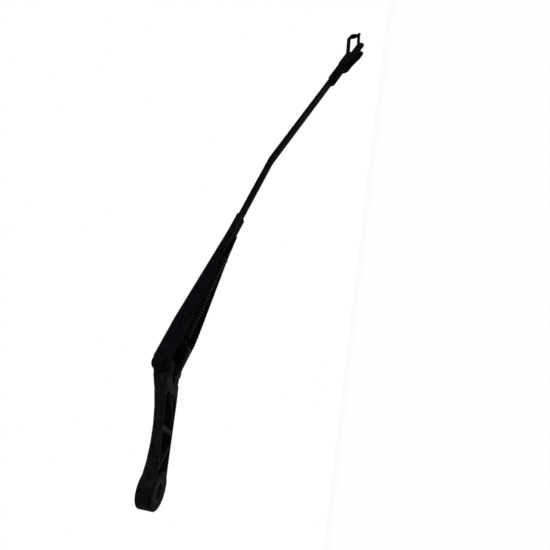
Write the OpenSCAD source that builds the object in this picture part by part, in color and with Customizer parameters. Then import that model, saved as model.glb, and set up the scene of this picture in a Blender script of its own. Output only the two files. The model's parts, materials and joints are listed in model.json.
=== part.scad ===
// Windscreen wiper arm: cast mounting head, pressed channel, flat rod and a tip fitting with a latch.
// Millimetres. The origin is the centre of the spindle seat on the underside of the boss,
// +Z points away from the glass along the spindle and +X towards the blade. The near side is -Y.
// The arm is drawn folded down on its stop.

/* [Spindle boss] */
// Diameter of the round boss
boss_d = 25; // [23:0.5:30]
// Height of the boss
boss_h = 12; // [11:0.5:15]
// Radius on the boss's upper edge
boss_edge_r = 1.6; // [0.8:0.2:2.4]
// Diameter of the straight seat that goes on the spindle
seat_d = 10; // [9:0.2:11]
// Length of the straight seat
seat_l = 4; // [3:0.5:5]
// Diameter of the hole that the spindle's thread passes through
thread_hole_d = 8.2; // [6.4:0.2:8.6]
// Diameter of the steel insert in the boss
insert_d = 15; // [13.5:0.5:16.5]
// Diameter of the recess for the nut in the top of the boss
nut_recess_d = 18.5; // [17.5:0.5:20]
// Depth of the recess for the nut
nut_recess_h = 4.5; // [3:0.5:5]

/* [Neck] */
// Width of the neck where it leaves the boss
neck_w = 21.4; // [18:0.2:22.4]
// Width of the head at its shoulder by the hinge
shoulder_w = 30.2; // [28.6:0.2:33]
// Distance from the spindle to the shoulder
shoulder_x = 75.4; // [72:0.2:75.4]
// Radius of the long curve along the top of the neck
sweep_r = 150; // [140:1:170]
// Distance from the spindle to the start of that curve
sweep_x = 12; // [8:0.5:14]
// Height of the neck's underside above the boss's underside, at the spindle
under_z = -0.7; // [-1:0.1:0]
// Angle at which the underside rises towards the hinge
under_angle = 11; // [10:0.5:12]
// Radius on the long upper edges of the neck
neck_edge_r = 2.6; // [1.5:0.1:4]
// Thickness of the neck's side walls
neck_wall_t = 2.2; // [1.6:0.1:3]
// Thickness of the neck's top skin
neck_skin_t = 2.4; // [1.8:0.1:3]
// Distance from the spindle to the solid end block
block_x = 65; // [60:0.5:67]
// Thickness of the cross rib
cross_rib_t = 3.6; // [2.5:0.1:5]
// Distance from the spindle to the middle of the cross rib
cross_rib_x = 39; // [34:0.5:44]
// Thickness of the slanting ribs
brace_t = 1.8; // [1.2:0.1:2.6]

/* [Hinge] */
// Distance from the spindle to the hinge axis
hinge_x = 84; // [83.6:0.1:86]
// Height of the hinge axis above the boss's underside
hinge_z = 22; // [21:0.2:22.6]
// Angle of the folded arm below the horizontal
arm_pitch = 11; // [9:0.5:13]
// Diameter of the hinge pin
pin_d = 5; // [4:0.2:5]
// Diameter of the hinge pin's two heads
pin_head_d = 10; // [8:0.5:12]
// Height of the hinge pin's heads
pin_head_h = 1; // [0.6:0.1:1.6]
// Radius of the head's lug round the hinge pin
lug_r = 7.2; // [6.4:0.1:7.2]
// Wall of the bushes in the lug
bush_t = 1; // [0.7:0.1:1.2]
// Thickness of the washers between the lug and the channel
washer_t = 0.5; // [0.3:0.1:0.8]
// Radial clearance of the turning fits
turn_gap = 0.05; // [0.03:0.01:0.08]
// Clearance between flat faces that slide on each other
side_gap = 0.1; // [0.05:0.05:0.2]

/* [Spring link] */
// Distance from the hinge axis back to the link's anchor pin, along the arm
anchor_back = 5; // [4.8:0.1:5.2]
// Distance from the hinge axis down to the link's anchor pin, square to the arm
anchor_down = 3.3; // [3.1:0.1:3.5]
// Diameter of the link's anchor pin
anchor_pin_d = 2.5; // [2:0.1:2.6]
// Length of the link from its anchor pin to the eye for the spring
link_l = 27; // [26.6:0.1:28]
// Thickness of the link plate
link_t = 3; // [2.4:0.2:3.2]
// Width of the band that the link is made of
link_band = 2.8; // [2:0.1:3]
// Depth of the link's bow below the line of pull, to the middle of its band
link_bow = 7.5; // [7.4:0.1:7.8]
// Width of the slot for the link in the head
slot_w = 6.8; // [5.4:0.2:8]
// Distance from the spindle to the closed end of that slot
slot_x = 72.2; // [70:0.2:73]

/* [Spring] */
// Diameter of the spring wire
wire_d = 2; // [1.6:0.1:2.1]
// Mean diameter of the coils
coil_d = 6.6; // [6.2:0.1:6.8]
// Distance from one coil to the next with the arm folded
coil_pitch = 2.84; // [2.4:0.02:3.4]
// Distance from the pin that holds the spring to the crimp, along the arm
spring_pin_back = 25; // [24:0.5:28]
// Height of that pin above the hinge axis, square to the arm
spring_pin_h = 3; // [2.8:0.1:3.1]
// Diameter of that pin
spring_pin_d = 3; // [2.4:0.1:3.2]

/* [Channel] */
// Thickness of the pressed sheet
sheet_t = 1.4; // [1.2:0.1:1.6]
// Outer width of the channel at the hinge
channel_w = 29.2; // [28:0.2:30]
// Height of the channel's top above the hinge axis
channel_top = 9; // [8.8:0.1:10]
// Depth of the channel's side walls below the hinge axis, near the hinge
channel_drop = 6.2; // [5:0.2:7]
// Radius of the walls' round ends about the hinge axis
wall_end_r = 7.6; // [7:0.1:7.8]
// Outer radius of the bends along the channel's top
bend_r = 2.6; // [2:0.1:2.8]
// Distance from the hinge axis to the start of the taper
taper_s = 36; // [30:1:45]
// Length of the folded flanges, from their start to the crimp
flange_l = 31; // [28:1:36]
// Distance from the hinge axis to the end of the channel
channel_l = 153; // [125:1:180]
// Length of the crimp round the rod
crimp_l = 19; // [16:1:22]
// Width of the seam between the folded flanges
seam_w = 2; // [1.2:0.2:3]

/* [Rod] */
// Width of the flat rod
rod_w = 9; // [8:0.5:9.4]
// Thickness of the flat rod
rod_t = 3; // [2.6:0.1:3.2]
// Length of the rod from the crimp to its bend
rod_rear_l = 75.6; // [60:0.1:90]
// Length of the rod from its bend to the tip fitting
rod_front_l = 135.5; // [100:0.5:160]
// Angle of the rod's bend
rod_bend = 7.7; // [4:0.1:12]
// Clearance round the rod in the crimp and in the tip fitting
rod_gap = 0.05; // [0.03:0.01:0.1]

/* [Tip fitting] */
// Wall of the sleeve on the rod
sleeve_t = 1.1; // [0.8:0.1:1.5]
// Length of the sleeve
sleeve_l = 27; // [20:0.5:32]
// Depth of the sleeve's underside below the rod's top
sleeve_drop = 6.2; // [5:0.1:7]
// Thickness of the fork's web and cheeks
fork_t = 1.4; // [1:0.1:1.8]
// Length of the fork's web over the rod
web_l = 14; // [13:0.2:14.4]
// Depth of the fork's box below the rod's top
box_drop = 8.8; // [8:0.1:9.4]
// Distance from the sleeve to the blade pin
blade_pin_x = 38; // [35:0.5:40]
// Depth of the blade pin below the rod's top
blade_pin_drop = 7.2; // [7:0.1:8]
// Diameter of the blade pin
blade_pin_d = 4; // [3:0.2:4.4]
// Radius of the cheeks' round ends
cheek_end_r = 4.2; // [3.8:0.1:4.6]
// Distance from the blade pin to the cheeks' round ends, along the rod
cheek_over = 3; // [1:0.5:4]
// Diameter of the rivets that hold the fork on the rod
rivet_d = 3; // [2.4:0.2:3.4]

/* [Latch] */
// Angle at which the latch is drawn open, above the rod
latch_open = 22.5; // [15:0.5:30]
// Distance from the sleeve to the latch pin
latch_pin_x = 17; // [16.6:0.1:18]
// Depth of the latch pin below the rod's top
latch_pin_drop = 2; // [1.8:0.1:2.2]
// Diameter of the latch pin
latch_pin_d = 2.5; // [2:0.1:3]
// Radius of the latch's hub
latch_hub_r = 2.9; // [2.6:0.1:3]
// Width of the latch's bowed strap
latch_w = 4; // [3:0.2:5]
// Length of the latch's upper leg, from its pin to the nose
latch_l = 38; // [36:0.5:40]
// Thickness of the latch's upper leg
latch_t = 4.4; // [3.6:0.1:4.6]
// Radius of the latch's nose
nose_r = 11.8; // [11.4:0.1:12.4]
// Clear height inside the latch's hook
hook_gap = 8.3; // [7.8:0.1:8.6]
// Length of the latch's return leg
hook_l = 14.3; // [10:0.1:16]
// Thickness of the latch's return leg
hook_t = 2.5; // [1.8:0.1:2.6]
// Diameter of the round knob at the latch's tip
knob_d = 3.4; // [2.6:0.1:4]

/* [Hidden] */
$fn = 48;
fine = 0.01;
far = 60;

cast_black = [0.09, 0.09, 0.10];
sheet_black = [0.06, 0.06, 0.07];
steel = [0.55, 0.55, 0.57];
moulded_black = [0.05, 0.05, 0.05];

// Hinge widths, from the channel inwards
channel_in_w = channel_w - 2 * sheet_t;
lug_w = channel_in_w - 2 * (washer_t + side_gap);
knuckle_r = norm([channel_top, 2]) + 0.5;
bush_d = pin_d + 2 * (turn_gap + bush_t);

// Heights across the rod and its crimp, above the hinge axis
rod_top = channel_top - sheet_t - rod_gap;
rod_bottom = rod_top - rod_t;
crimp_bottom = rod_bottom - rod_gap - sheet_t;
crimp_w = rod_w + 2 * (rod_gap + sheet_t);
crimp_s = channel_l - crimp_l;
bend_s = channel_l + rod_rear_l;
flange_s = crimp_s - flange_l;
spring_pin_s = crimp_s - spring_pin_back;
bend_in_r = bend_r - sheet_t;

// Line of pull from the anchor pin through the link and the spring
anchor = [-anchor_back, 0, -anchor_down];
pull_angle = atan2(spring_pin_h + anchor_down, spring_pin_s + anchor_back);
pull_l = norm([spring_pin_h + anchor_down, spring_pin_s + anchor_back]);

// Half width and slope of the channel's tapering walls
taper_slope = (channel_w - crimp_w) / 2 / (crimp_s - taper_s);
function channel_half(s) = channel_w / 2 - (s - taper_s) * taper_slope;

// Tip sizes along the rod from its bend and below the rod's top
box_x = rod_front_l + sleeve_l;
fork_in_w = rod_w + 2 * rod_gap;
fork_out_w = fork_in_w + 2 * fork_t;
rivet_x = [box_x + 4, box_x + 9.5];

// Sizes of the neck at a distance x from the spindle
neck_front_x = 14;
function under(x) = under_z + x * tan(under_angle);
function sweep_top(x) = boss_h + (x < sweep_x ? 0 : sweep_r - sqrt(pow(sweep_r, 2) - pow(x - sweep_x, 2)));
function neck_half(x) =
    neck_w / 2 + (shoulder_w - neck_w) / 2 * min(1, max(0, (x - neck_front_x) / (62 - neck_front_x)));

// Places the arm's own frame: origin on the hinge axis, +X along the arm, +Z square to it
module on_arm() {
    translate([hinge_x, 0, hinge_z])
        rotate([0, arm_pitch, 0])
            children();
}

// Places the line of pull: origin on the anchor pin, +X towards the pin that holds the spring
module on_pull_line() {
    on_arm()
        translate(anchor)
            rotate([0, -pull_angle, 0])
                children();
}

// Places the rod's front stretch: origin on the rod's top at its bend
module on_front_rod() {
    on_arm()
        translate([bend_s, 0, rod_top])
            rotate([0, rod_bend, 0])
                children();
}

// Round bar across the arm, centred on y = 0
module cross_bar(d, w) {
    rotate([90, 0, 0])
        cylinder(d = d, h = w, center = true);
}

// Extrudes a side view, drawn in X and Z, to a width centred on y = 0
module across(w) {
    rotate([90, 0, 0])
        linear_extrude(height = w, center = true)
            children();
}

// Thin slice of the neck with rounded upper edges
module neck_slice(x) {
    half = neck_half(x);
    top = sweep_top(x);
    translate([x, -half, under(x)])
        cube([fine, 2 * half, top - neck_edge_r - under(x)]);
    for (side = [-1, 1])
        translate([x, side * (half - neck_edge_r), top - neck_edge_r])
            rotate([0, 90, 0])
                cylinder(r = neck_edge_r, h = fine, $fn = 32);
}

// Outer form of the neck, lofted from the boss to the shoulder
module neck_form() {
    cuts = [4, 16, 28, 40, 52, 64, shoulder_x - fine];
    for (i = [0 : len(cuts) - 2])
        hull() {
            neck_slice(cuts[i]);
            neck_slice(cuts[i + 1]);
        }
}

// Boss with its rounded upper edge
module boss_form() {
    r = boss_d / 2;
    rotate_extrude($fn = 96)
        polygon(concat([[0, 0], [r - 0.5, 0], [r, 0.5]],
            [for (a = [0 : 15 : 90]) [r - boss_edge_r + boss_edge_r * cos(a), boss_h - boss_edge_r + boss_edge_r * sin(a)]],
            [[0, boss_h]]));
}

// Lug that the arm turns on, narrower than the shoulder, and the ridge that carries the neck's top to it
module lug_form() {
    back = shoulder_x - 4;
    ridge_x = hinge_x - 5.8;
    translate([hinge_x, 0, hinge_z])
        cross_bar(2 * lug_r, lug_w);
    across(lug_w)
        polygon([[back, under(back)], [hinge_x, hinge_z - lug_r], [hinge_x, hinge_z],
            [hinge_x - lug_r * cos(15), hinge_z + lug_r * sin(15)], [back, sweep_top(back) - neck_edge_r]]);
    across(lug_w - 2 * bend_in_r)
        polygon([[back, hinge_z - 1], [hinge_x, hinge_z - 1], [ridge_x, sweep_top(ridge_x)],
            [shoulder_x, sweep_top(shoulder_x)], [back, sweep_top(back)]]);
}

// Straight rib between two points of the plan, as high as the neck
module brace(from, to, t) {
    span = to - from;
    translate([from[0], from[1], -far / 2])
        rotate([0, 0, atan2(span[1], span[0])])
            translate([0, -t / 2, 0])
                cube([norm(span), t, 2 * far]);
}

// Open space under the neck, with its ribs left standing
module neck_hollow() {
    half = function(x) neck_half(x) - neck_wall_t;
    difference() {
        translate([0, 0, -far / 2])
            linear_extrude(height = 2 * far)
                polygon([[0, -half(0)], [neck_front_x, -half(neck_front_x)], [block_x - 4, -half(block_x - 4)],
                    [block_x, -half(block_x) + 5], [block_x, half(block_x) - 5],
                    [block_x - 4, half(block_x - 4)], [neck_front_x, half(neck_front_x)], [0, half(0)]]);
        translate([sweep_x, 0, boss_h + sweep_r])
            rotate([90, 0, 0])
                cylinder(r = sweep_r + neck_skin_t, h = 2 * far, center = true, $fn = 180);
        cylinder(d = boss_d, h = far, center = true, $fn = 96);
        translate([cross_rib_x - cross_rib_t / 2, -far / 2, -far / 2])
            cube([cross_rib_t, far, 2 * far]);
        brace([cross_rib_x + 4, shoulder_w / 2], [block_x + 1, -4.5], brace_t);
        brace([55, 5], [block_x + 1, 5], brace_t);
        brace([12, -10], [cross_rib_x - 3, shoulder_w / 2], brace_t);
    }
}

// Slot for the link: round-ended from below, and open upwards in front of the anchor pin
module link_slot() {
    anchor_x = hinge_x - anchor_back * cos(arm_pitch) - anchor_down * sin(arm_pitch);
    ceiling = hinge_z + 1;
    translate([slot_x + slot_w / 2, 0, 0])
        cylinder(d = slot_w, h = ceiling);
    translate([slot_x + slot_w / 2, -slot_w / 2, 0])
        cube([far, slot_w, ceiling]);
    translate([anchor_x - link_band, -slot_w / 2, 0])
        cube([far, slot_w, far]);
}

module mounting_head() {
    color(cast_black)
        difference() {
            union() {
                boss_form();
                difference() {
                    neck_form();
                    translate([hinge_x, 0, hinge_z])
                        cross_bar(2 * knuckle_r, 2 * far);
                }
                lug_form();
            }
            neck_hollow();
            link_slot();
            translate([0, 0, -1])
                cylinder(d = insert_d, h = far);
            translate([0, 0, boss_h - nut_recess_h])
                cylinder(d = nut_recess_d, h = far);
            translate([hinge_x, 0, hinge_z])
                cross_bar(bush_d, far);
            on_arm()
                translate(anchor)
                    cross_bar(anchor_pin_d, slot_w + 9);
        }
}

// Steel insert: straight seat, short taper and thread hole
module spindle_insert() {
    top = boss_h - nut_recess_h;
    taper = (seat_d - thread_hole_d) / 2;
    color(steel)
        rotate_extrude($fn = 96)
            polygon([[seat_d / 2, 0], [insert_d / 2, 0], [insert_d / 2, top], [thread_hole_d / 2, top],
                [thread_hole_d / 2, seat_l + taper], [seat_d / 2, seat_l]]);
}

// Bush in one of the lug's two cheeks
module bush(side) {
    w = (lug_w - slot_w) / 2;
    color(steel)
        translate([hinge_x, side * (slot_w + w) / 2, hinge_z])
            difference() {
                cross_bar(bush_d, w);
                cross_bar(pin_d + 2 * turn_gap, 2 * w);
            }
}

module bush_near() {
    bush(-1);
}

module bush_far() {
    bush(1);
}

// Pin across the slot, fixed in the head, that the link hangs on
module anchor_pin() {
    color(steel)
        on_arm()
            translate(anchor)
                cross_bar(anchor_pin_d, slot_w + 9);
}

// Hinge pin, fixed in the channel's walls by a head on each side
module hinge_pin() {
    color(steel)
        on_arm() {
            cross_bar(pin_d, channel_w);
            for (side = [-1, 1])
                translate([0, side * channel_w / 2, 0])
                    rotate([side * -90, 0, 0])
                        cylinder(d1 = pin_head_d, d2 = pin_head_d - 2, h = pin_head_h);
        }
}

// Washer between the lug and one wall of the channel
module washer(side) {
    color(moulded_black)
        on_arm()
            translate([0, side * (channel_in_w - washer_t) / 2, 0])
                difference() {
                    cross_bar(2 * lug_r - 1, washer_t);
                    cross_bar(pin_d + 2 * turn_gap, 2 * washer_t);
                }
}

module washer_near() {
    washer(-1);
}

module washer_far() {
    washer(1);
}

// Cross-section of the channel seen as a solid bar, shrunk by an inset
module channel_section(half, inset) {
    r = bend_r - inset;
    w = half - inset;
    top = channel_top - inset;
    translate([-w, -far / 2])
        square([2 * w, top - r + far / 2]);
    translate([r - w, 0])
        square([2 * (w - r), top]);
    for (side = [-1, 1])
        translate([side * (w - r), top - r])
            circle(r = r, $fn = 32);
}

// Length of that bar, extruded along the arm
module channel_bar(s, l, half, inset) {
    translate([s, 0, 0])
        rotate([90, 0, 90])
            linear_extrude(height = l)
                channel_section(half, inset);
}

// Channel seen as a solid bar: straight by the hinge, tapering to the crimp
module channel_form(inset) {
    channel_bar(-wall_end_r - 1, taper_s + wall_end_r + 1, channel_w / 2, inset);
    hull() {
        channel_bar(taper_s - fine, fine, channel_w / 2, inset);
        channel_bar(crimp_s, fine, crimp_w / 2, inset);
    }
    channel_bar(crimp_s, crimp_l + inset, crimp_w / 2, inset);
}

// Side view of the channel, raised by a sheet thickness for the inside of its flanges
module channel_side(raise) {
    low = crimp_bottom - 1.2;
    polygon([[0, -channel_drop + raise], [28, -channel_drop + raise],
        [flange_s + 9, low - 0.9 + raise], [crimp_s, low + raise],
        [crimp_s + 2, crimp_bottom + raise], [channel_l + 1, crimp_bottom + raise],
        [channel_l + 1, far], [2, far], [2, channel_top - sheet_t], [0, channel_top - sheet_t]]);
}

// Plan of the opening between the side walls and flanges
module channel_mouth() {
    wide = channel_w / 2 - sheet_t;
    flange_half = channel_half(flange_s) - sheet_t;
    polygon([[-far, -wide], [taper_s, -wide], [flange_s, -flange_half], [crimp_s, -seam_w / 2],
        [channel_l + 1, -seam_w / 2], [channel_l + 1, seam_w / 2], [crimp_s, seam_w / 2],
        [flange_s, flange_half], [taper_s, wide], [-far, wide]]);
}

module arm_channel() {
    color(sheet_black)
        on_arm()
            difference() {
                intersection() {
                    channel_form(0);
                    union() {
                        across(2 * far)
                            channel_side(0);
                        cross_bar(2 * wall_end_r, 2 * far);
                    }
                }
                difference() {
                    channel_form(sheet_t);
                    across(2 * far)
                        difference() {
                            translate([flange_s, -far])
                                square([far, 2 * far]);
                            channel_side(sheet_t);
                        }
                }
                translate([0, 0, -far])
                    linear_extrude(height = far + rod_bottom)
                        channel_mouth();
                translate([crimp_s - 9, -rod_w / 2 - rod_gap, rod_bottom - rod_gap])
                    cube([crimp_l + 10, rod_w + 2 * rod_gap, rod_t + 2 * rod_gap]);
                cross_bar(pin_d, 2 * far);
                translate([spring_pin_s, 0, spring_pin_h])
                    cross_bar(spring_pin_d, 2 * far);
            }
}

// Flat rod: rear stretch from inside the channel to the bend, and front stretch into the tip fitting
module arm_rod() {
    rear_s = crimp_s - 8;
    front_l = box_x + web_l - 2;
    kink = rod_t * tan(rod_bend / 2);
    color(sheet_black)
        difference() {
            on_arm()
                across(rod_w)
                    polygon([[rear_s, rod_bottom], [rear_s, rod_top], [bend_s, rod_top],
                        [bend_s + front_l * cos(rod_bend), rod_top - front_l * sin(rod_bend)],
                        [bend_s + front_l * cos(rod_bend) - rod_t * sin(rod_bend),
                            rod_top - front_l * sin(rod_bend) - rod_t * cos(rod_bend)],
                        [bend_s - kink, rod_bottom]]);
            on_front_rod()
                for (x = rivet_x)
                    translate([x, 0, -far / 2])
                        cylinder(d = rivet_d, h = far);
        }
}

// Pin across the channel that holds the spring's front loop, headed outside each wall
module spring_pin() {
    head_r = spring_pin_d / 2 + 0.8;
    seat = channel_half(spring_pin_s) + head_r * taper_slope;
    color(steel)
        on_arm()
            translate([spring_pin_s, 0, spring_pin_h]) {
                cross_bar(spring_pin_d, 2 * seat);
                for (side = [-1, 1])
                    translate([0, side * seat, 0])
                        rotate([side * -90, 0, 0])
                            cylinder(r = head_r, h = 0.8);
            }
}

// Plate link: eye on the anchor pin, bow under the hinge pin, eye for the spring
module spring_link() {
    band = link_band / 2;
    rear = 4.8;
    rear_r = 4.6;
    front_r = 4.3;
    front = link_l - front_r - 1.2;
    color(steel)
        on_pull_line()
            across(link_t)
                difference() {
                    union() {
                        circle(r = 2.6);
                        translate([rear - rear_r - band, rear_r - link_bow])
                            square([link_band, link_bow - rear_r]);
                        link_corner(rear, rear_r, -1);
                        translate([rear, -link_bow - band])
                            square([front - rear, link_band]);
                        link_corner(front, front_r, 1);
                        translate([front + front_r - band, front_r - link_bow])
                            square([link_band, link_bow - front_r]);
                        translate([link_l, 0])
                            circle(r = 3.15);
                    }
                    circle(d = anchor_pin_d + 2 * turn_gap);
                    translate([link_l, 0])
                        circle(r = spring_hole_r);
                }
}

// Quarter ring that turns the link's band upwards, to the rear or to the front
module link_corner(x, r, side) {
    band = link_band / 2;
    translate([x, r - link_bow])
        intersection() {
            difference() {
                circle(r = r + band);
                circle(r = r - band);
            }
            translate([side > 0 ? 0 : -far, -far])
                square([far, far]);
        }
}

// Spring wire: half loops at both ends, small bends out of them and the coils between
wire_r = wire_d / 2;
coil_r = coil_d / 2;
turn_r = 1.4;
spring_hole_r = wire_r + 0.75;
loop_lead = atan(turn_r / coil_r);
loop_r = norm([coil_r, turn_r]);
rear_c = link_l + 0.25 + loop_r;
front_c = pull_l - (loop_r - wire_r - spring_pin_d / 2 - 0.05);
turn_steps = 12;
wire_sides = 6;
coil_start = rear_c + turn_r;
coil_end = front_c - turn_r;
coils = round((coil_end - coil_start) / coil_pitch);
sweep = 360 * coils + 90 - 2 * loop_lead;

// Each entry holds a point of the wire's centre line and a direction across the wire
function rear_loop() = [for (a = [170 : -17 : 0])
    [[rear_c - loop_r * sin(a), loop_r * cos(a), 0], [-sin(a), cos(a), 0]]];
function rear_turn() =
    let (q = [rear_c, loop_r, 0], along = [0, -sin(loop_lead), cos(loop_lead)])
    [for (a = [30, 60]) [q + [turn_r * sin(a), 0, 0] + turn_r * (1 - cos(a)) * along, [0, 1, 0]]];
function coil_body() = [for (i = [0 : coils * turn_steps + 2])
    let (f = i / (coils * turn_steps + 2), a = loop_lead + f * sweep)
    [[coil_start + f * (coil_end - coil_start), coil_r * cos(a), coil_r * sin(a)], [0, cos(a), sin(a)]]];
function front_turn() =
    let (a0 = 90 - loop_lead, p = [coil_end, coil_r * cos(a0), coil_r * sin(a0)],
        along = [0, -sin(a0), cos(a0)])
    [for (a = [30, 60]) [p + turn_r * sin(a) * along + [turn_r * (1 - cos(a)), 0, 0], [0, 0, 1]]];
function front_loop() = [for (a = [0 : 17 : 170])
    [[front_c + loop_r * sin(a), 0, loop_r * cos(a)], [sin(a), 0, cos(a)]]];

// Ring of points round the wire at entry i of the path
function wire_ring(path, i) =
    let (before = path[max(0, i - 1)][0], after = path[min(len(path) - 1, i + 1)][0],
        t = (after - before) / norm(after - before),
        b0 = cross(t, path[i][1]), b = b0 / norm(b0), n = cross(b, t))
    [for (j = [0 : wire_sides - 1])
        path[i][0] + wire_r * (cos(j * 360 / wire_sides) * n + sin(j * 360 / wire_sides) * b)];

module tension_spring() {
    path = concat(rear_loop(), rear_turn(), coil_body(), front_turn(), front_loop());
    last = len(path) - 1;
    points = [for (i = [0 : last]) each wire_ring(path, i)];
    faces = concat(
        [[for (j = [0 : wire_sides - 1]) j]],
        [for (i = [0 : last - 1], j = [0 : wire_sides - 1])
            let (k = (j + 1) % wire_sides, a = i * wire_sides, b = a + wire_sides)
            each [[a + j, b + j, b + k], [a + j, b + k, a + k]]],
        [[for (j = [wire_sides - 1 : -1 : 0]) last * wire_sides + j]]);
    color(steel)
        on_pull_line()
            polyhedron(points = points, faces = faces, convexity = 10);
}

// Sleeve on the rod's front end, chamfered underneath
module tip_sleeve() {
    half = fork_in_w / 2 + sleeve_t;
    top = rod_gap + sleeve_t;
    color(moulded_black)
        on_front_rod()
            translate([rod_front_l, 0, 0])
                rotate([90, 0, 90])
                    difference() {
                        linear_extrude(height = sleeve_l)
                            polygon([[-half, top - 0.6], [0.6 - half, top], [half - 0.6, top], [half, top - 0.6],
                                [half, -rod_t - 0.6], [3.6, -sleeve_drop], [-3.6, -sleeve_drop], [-half, -rod_t - 0.6]]);
                        translate([-fork_in_w / 2, -rod_t - rod_gap, -1])
                            cube([fork_in_w, rod_t + 2 * rod_gap, sleeve_l + 2]);
                    }
}

// Side view of the fork: box over the rod's end, then cheeks that drop to the blade pin
module fork_side() {
    pin_x = box_x + blade_pin_x;
    end_x = pin_x + cheek_over;
    web_end = box_x + web_l;
    cheek_half = cheek_end_r - 0.1;
    polygon([[box_x, rod_gap + fork_t], [web_end + 6, rod_gap + fork_t], [web_end + 11, -blade_pin_drop + cheek_half],
        [end_x, -blade_pin_drop + cheek_half], [end_x, -blade_pin_drop - cheek_half],
        [pin_x - 6, -blade_pin_drop - cheek_half], [web_end + 4, -box_drop - 0.4], [box_x + 4, -box_drop + 0.2],
        [box_x, -sleeve_drop]]);
}

module blade_fork() {
    color(moulded_black)
        on_front_rod()
            difference() {
                union() {
                    across(fork_out_w)
                        fork_side();
                    translate([box_x + blade_pin_x + cheek_over, 0, -blade_pin_drop])
                        cross_bar(2 * cheek_end_r, fork_out_w);
                }
                across(fork_in_w)
                    polygon([[box_x - 1, -far], [box_x - 1, rod_gap], [box_x + web_l, rod_gap],
                        [box_x + web_l, far], [box_x + far, far], [box_x + far, -far]]);
                for (x = rivet_x)
                    translate([x, 0, -1])
                        cylinder(d = rivet_d, h = far);
                translate([box_x + latch_pin_x, 0, -latch_pin_drop])
                    cross_bar(latch_pin_d, far);
                translate([box_x + blade_pin_x, 0, -blade_pin_drop])
                    cross_bar(blade_pin_d, far);
            }
}

// Rivet through the fork's web and the rod, headed above and below
module rivet(x) {
    top = rod_gap + fork_t;
    color(moulded_black)
        on_front_rod()
            translate([x, 0, 0]) {
                translate([0, 0, -rod_t])
                    cylinder(d = rivet_d, h = rod_t + top);
                translate([0, 0, top])
                    cylinder(d1 = rivet_d + 2.2, d2 = rivet_d + 0.4, h = 0.8);
                translate([0, 0, -rod_t - 0.8])
                    cylinder(d1 = rivet_d + 0.4, d2 = rivet_d + 2.2, h = 0.8);
            }
}

module rivet_rear() {
    rivet(rivet_x[0]);
}

module rivet_front() {
    rivet(rivet_x[1]);
}

// Pin through both cheeks, with a low head outside each
module fork_pin(x, drop, d) {
    color(steel)
        on_front_rod()
            translate([x, 0, -drop]) {
                cross_bar(d, fork_out_w);
                for (side = [-1, 1])
                    translate([0, side * fork_out_w / 2, 0])
                        rotate([side * -90, 0, 0])
                            cylinder(d = d + 1, h = 0.5);
            }
}

module blade_pin() {
    fork_pin(box_x + blade_pin_x, blade_pin_drop, blade_pin_d);
}

module latch_pin() {
    fork_pin(box_x + latch_pin_x, latch_pin_drop, latch_pin_d);
}

// Side view of the latch: leg, round nose and return leg, with the pin at the origin
module latch_side() {
    leg_low = -latch_t / 2;
    return_top = leg_low - hook_gap;
    return_low = return_top - hook_t;
    nose_z = latch_t / 2 - nose_r;
    front = latch_l + nose_r;
    difference() {
        union() {
            circle(r = latch_hub_r);
            translate([0, leg_low])
                square([latch_l, latch_t]);
            intersection() {
                translate([latch_l, nose_z])
                    circle(r = nose_r, $fn = 96);
                translate([latch_l, nose_z])
                    square([nose_r, nose_r]);
            }
            polygon([[latch_l, return_low], [front - 1, return_low], [front, nose_z], [latch_l, nose_z]]);
            translate([latch_l - hook_l, return_low])
                square([hook_l, hook_t]);
            translate([front, return_low + 0.5])
                circle(d = knob_d);
        }
        translate([latch_l, leg_low - hook_gap / 2])
            circle(d = hook_gap);
        circle(d = latch_pin_d + 2 * turn_gap);
    }
}

module blade_latch() {
    hub_w = fork_in_w - 2 * side_gap;
    color(moulded_black)
        on_front_rod()
            translate([box_x + latch_pin_x, 0, -latch_pin_drop])
                rotate([0, -latch_open, 0]) {
                    across(latch_w)
                        latch_side();
                    difference() {
                        cross_bar(2 * latch_hub_r, hub_w);
                        cross_bar(latch_pin_d + 2 * turn_gap, far);
                    }
                }
}

mounting_head();
spindle_insert();
bush_near();
bush_far();
anchor_pin();
hinge_pin();
washer_near();
washer_far();
arm_channel();
arm_rod();
spring_pin();
tension_spring();
spring_link();
tip_sleeve();
blade_fork();
rivet_rear();
rivet_front();
blade_pin();
latch_pin();
blade_latch();
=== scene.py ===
# %% [markdown]
# # Folding wiper arm
# The part is packed already: every rigid piece has its real shape and its joints. This script
# loads that frame, gives each piece its finish, winds a rounder spring, rounds the edges of the
# main pieces, shapes the latch at the tip, and sets up a camera and soft light that match the
# photograph.

# %% Load the frame
import json
import math

import bmesh
import bpy
from mathutils import Matrix, Vector


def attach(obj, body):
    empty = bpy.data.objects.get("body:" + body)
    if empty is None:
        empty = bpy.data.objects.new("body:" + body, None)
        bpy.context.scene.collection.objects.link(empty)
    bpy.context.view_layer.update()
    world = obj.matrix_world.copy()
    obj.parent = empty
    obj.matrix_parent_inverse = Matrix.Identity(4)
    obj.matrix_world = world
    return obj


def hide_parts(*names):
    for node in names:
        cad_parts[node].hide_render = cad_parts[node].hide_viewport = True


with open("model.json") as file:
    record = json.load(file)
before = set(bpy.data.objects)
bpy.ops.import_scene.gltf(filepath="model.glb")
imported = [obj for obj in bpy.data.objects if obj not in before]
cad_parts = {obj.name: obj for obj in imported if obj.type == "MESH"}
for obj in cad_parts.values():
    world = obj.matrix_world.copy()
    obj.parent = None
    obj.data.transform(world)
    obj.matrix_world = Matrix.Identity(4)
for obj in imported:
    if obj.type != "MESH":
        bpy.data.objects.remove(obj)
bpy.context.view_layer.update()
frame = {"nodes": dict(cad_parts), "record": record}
MM = 0.001
print("nodes:", len(frame["nodes"]))


# %% Helper that puts an object in the scene
def put_in_scene(name, data):
    made = bpy.data.objects.new(name, data)
    bpy.context.scene.collection.objects.link(made)
    return made


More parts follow.
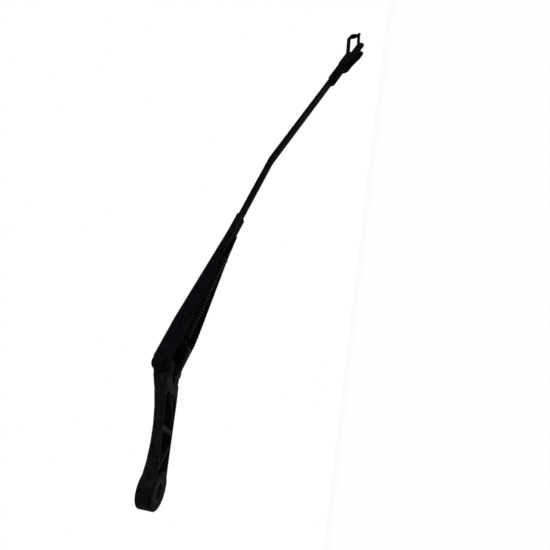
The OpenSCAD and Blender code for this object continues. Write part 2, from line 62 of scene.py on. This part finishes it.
# %% [markdown]
# ## Camera
# The camera stands on the near side and lower than the arm, and is rolled so that the arm runs up
# the picture with its underside to the right. Its place was worked out from the outline in the
# photograph, so it is written as a point and three directions instead of being aimed at a target.

# %% Camera
CAMERA_AT = Vector((-15.00, -327.81, -110.78)) * MM
CAMERA_RIGHT = Vector((0.188099, 0.085441, -0.978427))
CAMERA_UP = Vector((0.845464, -0.521050, 0.117037))
CAMERA_BACK = Vector((-0.499810, -0.849239, -0.170246))
SENSOR_MM = 36.0
LENS_MM = 29.785

camera_data = bpy.data.cameras.new("camera")
camera_data.sensor_width = SENSOR_MM
camera_data.lens = LENS_MM
camera_data.clip_start = 0.01
camera_data.clip_end = 20.0
camera = put_in_scene("camera", camera_data)
turn = Matrix((CAMERA_RIGHT, CAMERA_UP, CAMERA_BACK)).transposed()
camera.matrix_world = Matrix.Translation(CAMERA_AT) @ turn.to_4x4()
bpy.context.scene.camera = camera
print("camera at", [round(v, 3) for v in CAMERA_AT])

# %% [markdown]
# ## Finishes
# Nearly everything here is black, so the pieces are told apart by their sheen and their fine
# relief: painted die casting is a little rough, painted sheet is smoother, and moulded plastic
# has a fine grain. Each material starts from one Principled shader. Noise on Object coordinates
# varies the colour a little and raises the bumps, so that it stays put on the piece in any view.
# A Bevel node rounds the look of the sharp edges, as a coat of paint does.


# %% Helper that starts a material
def new_material(name, roughness, specular):
    material = bpy.data.materials.new(name)
    material.use_nodes = True
    shader = material.node_tree.nodes["Principled BSDF"]
    shader.inputs["Metallic"].default_value = 0.0
    shader.inputs["Roughness"].default_value = roughness
    shader.inputs["Specular IOR Level"].default_value = specular
    return material, shader


# %% Helpers for noise, and for the two tones that it runs between
DARK_BELOW, LIGHT_ABOVE = 0.32, 0.70


def noise(material, scale, detail, roughness=0.5):
    nodes, links = material.node_tree.nodes, material.node_tree.links
    place = nodes.get("place") or nodes.new("ShaderNodeTexCoord")
    place.name = "place"
    made = nodes.new("ShaderNodeTexNoise")
    made.inputs["Scale"].default_value = scale
    made.inputs["Detail"].default_value = detail
    made.inputs["Roughness"].default_value = roughness
    links.new(place.outputs["Object"], made.inputs["Vector"])
    return made.outputs["Fac"]


def two_tones(material, source, low, high):
    nodes, links = material.node_tree.nodes, material.node_tree.links
    made = nodes.new("ShaderNodeValToRGB")
    links.new(source, made.inputs["Fac"])
    dark, light = made.color_ramp.elements
    dark.position, dark.color = DARK_BELOW, (*low, 1.0)
    light.position, light.color = LIGHT_ABOVE, (*high, 1.0)
    return made.outputs["Color"]


# %% Helper for the relief and the softened edges
EDGE_SAMPLES = 6


def relief(material, shader, source, height, edge):
    nodes, links = material.node_tree.nodes, material.node_tree.links
    rounded = nodes.new("ShaderNodeBevel")
    rounded.samples = EDGE_SAMPLES
    rounded.inputs["Radius"].default_value = edge
    bump = nodes.new("ShaderNodeBump")
    bump.inputs["Strength"].default_value = 1.0
    bump.inputs["Distance"].default_value = height
    links.new(source, bump.inputs["Height"])
    links.new(rounded.outputs["Normal"], bump.inputs["Normal"])
    links.new(bump.outputs["Normal"], shader.inputs["Normal"])


# %% Helper for a dark coat
def dark_coat(name, roughness, specular, cloud_scale, low, high, grain_scale, grain_height, edge):
    material, shader = new_material(name, roughness, specular)
    clouds = noise(material, cloud_scale, detail=6.0, roughness=0.6)
    colour = two_tones(material, clouds, low, high)
    material.node_tree.links.new(colour, shader.inputs["Base Color"])
    grain = noise(material, grain_scale, detail=3.0)
    relief(material, shader, grain, grain_height, edge)
    return material


# %% [markdown]
# ### Painted die casting
# The head is cast and then painted. Its paint follows the skin of the casting, so it has soft
# cloudy patches a few millimetres across and a fine orange-peel relief. In the photograph it
# sends back only about one percent of the light, or less, even where a surface slants away. So
# the colours are very dark and the gloss is set low.


# %% Material of the cast head
def cast_paint():
    return dark_coat(
        "cast_paint", roughness=0.50, specular=0.008,
        cloud_scale=220.0, low=(0.0012, 0.0011, 0.0020), high=(0.0068, 0.0065, 0.0076),
        grain_scale=1400.0, grain_height=0.05 * MM, edge=0.6 * MM)


# %% [markdown]
# ### Painted sheet steel and coated pins
# The channel, the rod and the fork are steel with a smooth satin black coat. The relief is finer
# than on the casting and the colour is more even. The pins have the same kind of coat, thinner
# and darker.


# %% Materials of the sheet and of the coated pins
def sheet_paint():
    return dark_coat(
        "sheet_paint", roughness=0.46, specular=0.004,
        cloud_scale=140.0, low=(0.0014, 0.0014, 0.0023), high=(0.0038, 0.0036, 0.0049),
        grain_scale=2200.0, grain_height=0.02 * MM, edge=0.3 * MM)


def pin_coat():
    return dark_coat(
        "pin_coat", roughness=0.45, specular=0.008,
        cloud_scale=500.0, low=(0.0005, 0.0005, 0.0009), high=(0.0020, 0.0019, 0.0026),
        grain_scale=3000.0, grain_height=0.01 * MM, edge=0.3 * MM)


# %% [markdown]
# ### Spring, steel insert and plastics
# The spring and its link are dark phosphated steel, with a faint brown cast. The insert in the
# boss is dark steel, and its colour is painted lighter than the casting: painted light that stands
# in for the stronger light falling on the boss face.
# The sleeve, the latch and the washers are black plastic with a fine grain.


# %% Materials of the spring, the insert and the plastics
def spring_steel():
    return dark_coat(
        "spring_steel", roughness=0.42, specular=0.03,
        cloud_scale=400.0, low=(0.0020, 0.0019, 0.0022), high=(0.0058, 0.0054, 0.0056),
        grain_scale=2600.0, grain_height=0.01 * MM, edge=0.3 * MM)


# Dark steel of the insert, painted lighter as painted light for the brighter light on the boss
# face.
def greased_steel_painted_light():
    return dark_coat(
        "greased_steel_painted_light", roughness=0.45, specular=0.008,
        cloud_scale=90.0, low=(0.0040, 0.0038, 0.0043), high=(0.0110, 0.0104, 0.0106),
        grain_scale=4000.0, grain_height=0.01 * MM, edge=0.2 * MM)


def moulded_plastic(name):
    return dark_coat(
        name, roughness=0.52, specular=0.004,
        cloud_scale=160.0, low=(0.0007, 0.0007, 0.0011), high=(0.0024, 0.0022, 0.0028),
        grain_scale=3200.0, grain_height=0.03 * MM, edge=0.3 * MM)


# %% Make the finishes
FINISHES = {
    "cast": cast_paint(),
    "sheet": sheet_paint(),
    "pins": pin_coat(),
    "spring": spring_steel(),
    "steel": greased_steel_painted_light(),
    "moulding": moulded_plastic("moulded_plastic"),
    "washers": moulded_plastic("washer_plastic"),
}
print("finishes:", sorted(FINISHES))

# %% [markdown]
# ### Which piece takes which finish
# The record names a material slot for each node, so the finishes are handed out by that name.

# %% Hand out the finishes
slots = {row["node"]: row["material_slot"] for row in frame["record"]["subparts"]}
for name, node in frame["nodes"].items():
    node.data.materials.clear()
    node.data.materials.append(FINISHES[slots[name]])
print("dressed", len(slots), "nodes")

# %% [markdown]
# ## Spring
# The frame's spring has a six-sided wire to keep its file small. A rounder one is wound here
# from one ring of the wire: each spin carries the ring on, first round the rear loop, then through
# a small bend, along the coils with a step forwards each time, and out into the front loop.

# %% Sizes of the spring
WIRE_R = 1.0 * MM
COIL_R = 3.3 * MM
BEND_R = 1.4 * MM
COILS = 28
REAR_LOOP_X = 27.25 * MM
PIN_SEAT_R = 1.55 * MM
PULL_RUN, PULL_RISE = 114.0, 6.3
PULL_LENGTH = math.hypot(PULL_RUN, PULL_RISE) * MM
LOOP_R = math.hypot(COIL_R, BEND_R)
LEAD = math.atan2(BEND_R, COIL_R)
REAR_X = REAR_LOOP_X + LOOP_R
FRONT_X = PULL_LENGTH - (LOOP_R - WIRE_R - PIN_SEAT_R)
print("loop centres at", round(REAR_X / MM, 2), "and", round(FRONT_X / MM, 2), "mm along the pull")

# %% [markdown]
# ### Line of pull
# The spring pulls from the link's anchor pin in the head to the cross pin in the channel. It is
# wound along X, and this matrix then lays it on that line.

# %% Line of pull
HINGE_AT = Vector((84.0, 0.0, 22.0)) * MM
ARM_PITCH = math.radians(11.0)
ANCHOR_ON_ARM = Vector((-5.0, 0.0, -3.3)) * MM
PULL_ANGLE = math.atan2(PULL_RISE, PULL_RUN)
pull_line = (
    Matrix.Translation(HINGE_AT)
    @ Matrix.Rotation(ARM_PITCH, 4, "Y")
    @ Matrix.Translation(ANCHOR_ON_ARM)
    @ Matrix.Rotation(-PULL_ANGLE, 4, "Y")
)
print("anchor pin at", [round(v / MM, 1) for v in pull_line.translation], "mm")

# %% Helpers that start the wire and carry its live end on
LOOP_TURN = math.radians(170)
QUARTER = math.pi / 2
WIRE_SIDES = 12
LOOP_STEPS, BEND_STEPS, COIL_STEPS = 20, 6, 24


def start_wire(made):
    at = Vector((REAR_X - LOOP_R * math.sin(LOOP_TURN), LOOP_R * math.cos(LOOP_TURN), 0))
    heading = Vector((math.cos(LOOP_TURN), math.sin(LOOP_TURN), 0))
    place = Matrix.Translation(at) @ heading.to_track_quat("Z", "Y").to_matrix().to_4x4()
    ring = bmesh.ops.create_circle(made, segments=WIRE_SIDES, radius=WIRE_R, matrix=place)["verts"]
    return ring + list(dict.fromkeys(edge for vert in ring for edge in vert.link_edges))


def spin_on(made, live, centre, axis, angle, steps, advance=0.0):
    step = Vector((advance / steps, 0, 0))
    return bmesh.ops.spin(made, geom=live, cent=centre, axis=axis, dvec=step, angle=angle,
                          steps=steps, use_merge=False, use_duplicate=False)["geom_last"]


# %% Helper that turns a finished bmesh into a mesh
def finished_mesh(name, made):
    mesh = bpy.data.meshes.new(name)
    made.to_mesh(mesh)
    made.free()
    return mesh


# %% Wind the spring
def wind_spring():
    made = bmesh.new()
    live = start_wire(made)

    live = spin_on(made, live, Vector((REAR_X, 0, 0)), Vector((0, 0, -1)), LOOP_TURN, LOOP_STEPS)
    along = Vector((0, -math.sin(LEAD), math.cos(LEAD)))
    centre = Vector((REAR_X, LOOP_R, 0)) + BEND_R * along
    axis = Vector((0, -math.cos(LEAD), -math.sin(LEAD)))
    live = spin_on(made, live, centre, axis, QUARTER, BEND_STEPS)

    coil_start, coil_end = REAR_X + BEND_R, FRONT_X - BEND_R
    sweep = 2 * math.pi * COILS + QUARTER - 2 * LEAD
    live = spin_on(made, live, Vector((0, 0, 0)), Vector((1, 0, 0)), sweep, COILS * COIL_STEPS,
                   coil_end - coil_start)

    last = QUARTER - LEAD
    centre = Vector((coil_end + BEND_R, COIL_R * math.cos(last), COIL_R * math.sin(last)))
    axis = Vector((0, math.cos(last), math.sin(last)))
    live = spin_on(made, live, centre, axis, QUARTER, BEND_STEPS)
    spin_on(made, live, Vector((FRONT_X, 0, 0)), Vector((0, 1, 0)), LOOP_TURN, LOOP_STEPS)

    open_edges = [edge for edge in made.edges if edge.is_boundary]
    bmesh.ops.holes_fill(made, edges=open_edges, sides=0)
    bmesh.ops.recalc_face_normals(made, faces=made.faces)
    bmesh.ops.transform(made, matrix=pull_line, verts=made.verts)
    for face in made.faces:
        face.smooth = len(face.verts) == 4
    return finished_mesh("wound_spring", made)


spring = put_in_scene("wound_spring", wind_spring())
spring.data.materials.append(FINISHES["spring"])
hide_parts("tension_spring")
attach(spring, "spring")
print("spring faces:", len(spring.data.polygons))

# %% [markdown]
# ## Rounded edges on the main pieces
# Castings and pressings have no knife edges. The CAD nodes do, because a fillet on every edge
# would make their files heavy. So each main piece is copied, its loose triangles are merged into
# one skin, flat areas become single faces, and the sharp edges get a narrow bevel.


# %% Helpers that find the sharp edges and shade the rest smoothly
def is_sharp(edge, limit):
    return len(edge.link_faces) == 2 and edge.calc_face_angle(0.0) > limit


def shade_smoothly(made, limit):
    for face in made.faces:
        face.smooth = True
    for edge in made.edges:
        edge.smooth = not is_sharp(edge, limit)


# %% Helper that copies a node and rounds its edges
BODIES = frame["record"]["behaviour"]["bodies"]
BODY_OF = {node: body for body, names in BODIES.items() for node in names}
SAME_POINT = 0.002 * MM
STILL_FLAT = math.radians(0.6)
SHARP_ANGLE = math.radians(32.0)
EDGE_SEGMENTS = 2


def rounded_copy(node, name, width):
    skin = bmesh.new()
    skin.from_mesh(frame["nodes"][node].data)
    bmesh.ops.remove_doubles(skin, verts=skin.verts, dist=SAME_POINT)
    bmesh.ops.dissolve_limit(skin, angle_limit=STILL_FLAT, verts=skin.verts,
                             edges=skin.edges, delimit={"NORMAL"})
    sharp = [edge for edge in skin.edges if is_sharp(edge, SHARP_ANGLE)]
    bmesh.ops.bevel(skin, geom=sharp, offset=width, offset_type="OFFSET", segments=EDGE_SEGMENTS,
                    profile=0.5, affect="EDGES", clamp_overlap=True, material=-1)
    shade_smoothly(skin, SHARP_ANGLE)
    mesh = finished_mesh(name, skin)
    piece = put_in_scene(name, mesh)
    mesh.materials.append(FINISHES[slots[node]])
    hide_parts(node)
    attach(piece, BODY_OF[node])
    print(name, "bevelled", len(sharp), "edges,", len(mesh.polygons), "faces")


# %% Round the main pieces
rounded_copy("mounting_head", "cast_head", 0.45 * MM)
rounded_copy("arm_channel", "pressed_channel", 0.25 * MM)
rounded_copy("arm_rod", "flat_rod", 0.5 * MM)
rounded_copy("hinge_pin", "headed_hinge_pin", 0.3 * MM)
rounded_copy("spring_link", "hooked_link", 0.3 * MM)
rounded_copy("tip_sleeve", "moulded_sleeve", 0.4 * MM)
rounded_copy("blade_fork", "pressed_fork", 0.5 * MM)

# %% [markdown]
# ## Latch
# The loop at the tip has its outer corner cut off, its front wall thins towards the free leg, and
# a small ball stands at the near side of that corner. Its CAD node is plainer there. The outline
# is drawn in the latch's own plane, in millimetres with the pin at zero, and given its width with
# a soft edge.

# %% Sizes of the latch
LATCH_AT = Vector((479.224, 0.0, -73.652)) * MM
LATCH_RISE = math.radians(3.8)
LATCH_W = 3.8
LATCH_EDGE = 0.4
LATCH_SHARP = math.radians(40)
LATCH_OUTLINE = [
    (1.9, 2.2), (38.2, 2.2), (40.6, 1.5), (45.8, -1.1), (48.6, -3.1),
    (49.2, -4.4), (49.1, -12.4), (48.2, -13.4), (24.3, -13.4), (23.5, -12.7),
    (23.5, -10.5), (24.1, -9.9), (46.0, -9.9), (46.9, -9.2), (44.4, -6.2),
    (44.0, -3.6), (43.2, -2.6), (42.2, -2.3), (1.9, -2.3)]
HUB_HALF_W, HUB_R, HUB_BORE_R, HUB_STEPS = 4.3, 2.9, 1.4, 40
KNOB_AT, KNOB_R = (49.2, -1.1, -12.2), 1.75


# %% Loop of the latch
def latch_loop(made):
    side = made.faces.new([made.verts.new((u, -LATCH_W / 2, v)) for u, v in LATCH_OUTLINE])
    moved = bmesh.ops.extrude_face_region(made, geom=[side])["geom"]
    far_side = [item for item in moved if isinstance(item, bmesh.types.BMVert)]
    bmesh.ops.translate(made, vec=(0, LATCH_W, 0), verts=far_side)
    rim = [edge for edge in made.edges if edge.verts[0].co.y == edge.verts[1].co.y]
    bmesh.ops.bevel(made, geom=rim, offset=LATCH_EDGE, offset_type="OFFSET",
                    segments=EDGE_SEGMENTS, profile=0.5, affect="EDGES", clamp_overlap=True,
                    material=-1)


# %% Hub and knob of the latch
def latch_hub(made):
    section = ((HUB_BORE_R, -HUB_HALF_W), (HUB_R, -HUB_HALF_W),
               (HUB_R, HUB_HALF_W), (HUB_BORE_R, HUB_HALF_W))
    ring = [made.verts.new((x, y, 0)) for x, y in section]
    edges = [made.edges.new(pair) for pair in zip(ring, ring[1:] + ring[:1])]
    bmesh.ops.spin(made, geom=ring + edges, cent=(0, 0, 0), axis=(0, 1, 0), angle=2 * math.pi,
                   steps=HUB_STEPS, use_merge=True, use_duplicate=False)


def latch_knob(made):
    bmesh.ops.create_uvsphere(made, u_segments=20, v_segments=12, radius=KNOB_R,
                              matrix=Matrix.Translation(KNOB_AT))


# %% Put the latch together
def latch_mesh():
    made = bmesh.new()
    latch_loop(made)
    latch_hub(made)
    latch_knob(made)
    bmesh.ops.recalc_face_normals(made, faces=made.faces)
    tilt = Matrix.Rotation(-LATCH_RISE, 4, "Y")
    place = Matrix.Translation(LATCH_AT) @ tilt @ Matrix.Scale(MM, 4)
    bmesh.ops.transform(made, matrix=place, verts=made.verts)
    shade_smoothly(made, LATCH_SHARP)
    return finished_mesh("loop_latch", made)


latch = put_in_scene("loop_latch", latch_mesh())
latch.data.materials.append(FINISHES["moulding"])
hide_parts("blade_latch")
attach(latch, "latch")
print("latch faces:", len(latch.data.polygons))

# %% [markdown]
# ## Floor
# A plain white floor lies under the arm, and its pale colour lights the underside. The camera
# sees it nearly at full white, with a faint shadow, as on the photograph's ground: that comes
# from mixing in a white glow where a ray comes from the camera, not from more light on the arm.

# %% Floor
FLOOR_REACH = 6.0
FLOOR_AT = (0.25, 0.0, -135.0 * MM)
floor_mesh = bmesh.new()
bmesh.ops.create_grid(floor_mesh, x_segments=1, y_segments=1, size=FLOOR_REACH)
floor = put_in_scene("floor", finished_mesh("floor", floor_mesh))
floor.location = FLOOR_AT
print("floor at", round(floor.location.z / MM), "mm")

# %% Floor material
GLOW_SHARE = 0.95
floor_material = bpy.data.materials.new("floor")
floor_material.use_nodes = True
floor_nodes, floor_links = floor_material.node_tree.nodes, floor_material.node_tree.links
floor_shader = floor_nodes["Principled BSDF"]
floor_shader.inputs["Base Color"].default_value = (0.84, 0.81, 0.78, 1.0)
floor_shader.inputs["Roughness"].default_value = 0.9
floor_shader.inputs["Specular IOR Level"].default_value = 0.0
floor_glow = floor_nodes.new("ShaderNodeEmission")
floor_glow.inputs["Color"].default_value = (1.0, 1.0, 1.0, 1.0)
floor_mix = floor_nodes.new("ShaderNodeMixShader")
floor_path = floor_nodes.new("ShaderNodeLightPath")
floor_seen = floor_nodes.new("ShaderNodeMath")
floor_seen.operation = "MULTIPLY"
floor_seen.inputs[1].default_value = GLOW_SHARE
floor_links.new(floor_path.outputs["Is Camera Ray"], floor_seen.inputs[0])
floor_links.new(floor_seen.outputs[0], floor_mix.inputs["Fac"])
floor_links.new(floor_shader.outputs["BSDF"], floor_mix.inputs[1])
floor_links.new(floor_glow.outputs["Emission"], floor_mix.inputs[2])
floor_links.new(floor_mix.outputs["Shader"], floor_nodes["Material Output"].inputs["Surface"])
floor.data.materials.append(floor_material)
print("floor nodes:", len(floor_nodes))

# %% [markdown]
# ## World
# The world is white where the camera, a reflection or glass sees it, and dim where it lights the
# arm, so that black paint stays black. The three kinds of ray are joined by two Maximum nodes.

# %% World
WORLD_AS_LIGHT, WORLD_AS_SEEN = 0.14, 1.0
world = bpy.data.worlds.new("world")
bpy.context.scene.world = world
world.use_nodes = True
nodes, links = world.node_tree.nodes, world.node_tree.links
background = nodes["Background"]
background.inputs["Color"].default_value = (1.0, 1.0, 1.0, 1.0)
path = nodes.new("ShaderNodeLightPath")
seen = nodes.new("ShaderNodeMath")
seen.operation = "MAXIMUM"
links.new(path.outputs["Is Camera Ray"], seen.inputs[0])
links.new(path.outputs["Is Glossy Ray"], seen.inputs[1])
also = nodes.new("ShaderNodeMath")
also.operation = "MAXIMUM"
links.new(seen.outputs[0], also.inputs[0])
links.new(path.outputs["Is Transmission Ray"], also.inputs[1])
level = nodes.new("ShaderNodeMapRange")
level.inputs["To Min"].default_value = WORLD_AS_LIGHT
level.inputs["To Max"].default_value = WORLD_AS_SEEN
links.new(also.outputs[0], level.inputs["Value"])
links.new(level.outputs["Result"], background.inputs["Strength"])
print("world nodes:", len(nodes))

# %% [markdown]
# ## Lamps
# Three large soft lamps do the rest of the lighting, two on the camera's side and one behind,
# all aimed at the middle of the arm. Their size keeps the highlights broad and the shadow soft.

# %% Lamps
MIDDLE = Vector((0.25, 0.0, -0.02))
LAMP_SIZE = 0.9


def soft_lamp(name, at, watts):
    data = bpy.data.lights.new(name, "AREA")
    data.shape = "SQUARE"
    data.size = LAMP_SIZE
    data.energy = watts
    lamp = put_in_scene(name, data)
    lamp.location = at
    lamp.rotation_euler = (MIDDLE - Vector(at)).to_track_quat("-Z", "Y").to_euler()


soft_lamp("key", (0.35, -0.8, 1.05), 15.0)
soft_lamp("fill", (0.6, -0.95, 0.25), 3.5)
soft_lamp("back", (0.1, 0.9, 0.9), 11.0)

# %% [markdown]
# ## View settings
# The Standard view shows a colour about as it is written.

# %% View settings
bpy.context.scene.view_settings.view_transform = "Standard"
